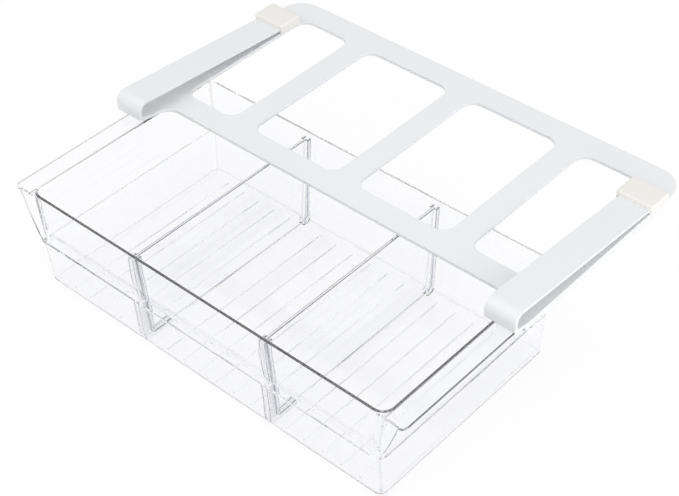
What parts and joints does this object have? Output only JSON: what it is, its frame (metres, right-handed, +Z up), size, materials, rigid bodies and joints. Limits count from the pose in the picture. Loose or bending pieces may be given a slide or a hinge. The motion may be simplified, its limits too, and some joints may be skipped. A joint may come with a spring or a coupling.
{
  "type": "fridge drawer organizer",
  "caption": "Clear pull-out drawer with dividers, sliding in rails under a white windowed frame whose spring arms clip over the front edge of a fridge shelf.",
  "frame": {"origin": "centre of the footprint with the drawer as stored, on the drawer's underside", "axes": "+X to the right of someone facing the fridge, +Y into the fridge, +Z up; the drawer pulls out along -Y"},
  "size_m": [0.3282, 0.2656, 0.09],
  "materials": {
    "white_plastic": "satin moulded",
    "cream_rubber": "soft matte",
    "clear_plastic": "clear polished"
  },
  "bodies": {
    "frame": {"frame_plate": "white_plastic", "slide_rail_left": "white_plastic", "slide_rail_right": "white_plastic"},
    "drawer": {"drawer_tray": "clear_plastic"},
    "divider_left": {"divider_left": "clear_plastic"},
    "divider_right": {"divider_right": "clear_plastic"},
    "arm_left": {"clip_arm_left": "white_plastic", "grip_cap_left": "cream_rubber"},
    "arm_right": {"clip_arm_right": "white_plastic", "grip_cap_right": "cream_rubber"}
  },
  "joints": [
    {"name": "drawer_slide", "type": "slide", "parent": "frame", "child": "drawer", "axis": [0, -1, 0], "range_m": [-0.1007, 0.03]},
    {"name": "divider_left_lift", "type": "slide", "parent": "drawer", "child": "divider_left", "axis": [0, 0, 1], "range_m": [0, 0.005]},
    {"name": "divider_right_lift", "type": "slide", "parent": "drawer", "child": "divider_right", "axis": [0, 0, 1], "range_m": [0, 0.005]},
    {"name": "arm_left_flex", "type": "hinge", "parent": "frame", "child": "arm_left", "pos_m": [0, -0.04102, 0.08305], "axis": [1, 0, 0], "range_deg": [0, 6], "stiffness_Nm_per_rad": 4},
    {"name": "arm_right_flex", "type": "hinge", "parent": "frame", "child": "arm_right", "pos_m": [0, -0.04102, 0.08305], "axis": [1, 0, 0], "range_deg": [0, 6], "stiffness_Nm_per_rad": 4}
  ]
}
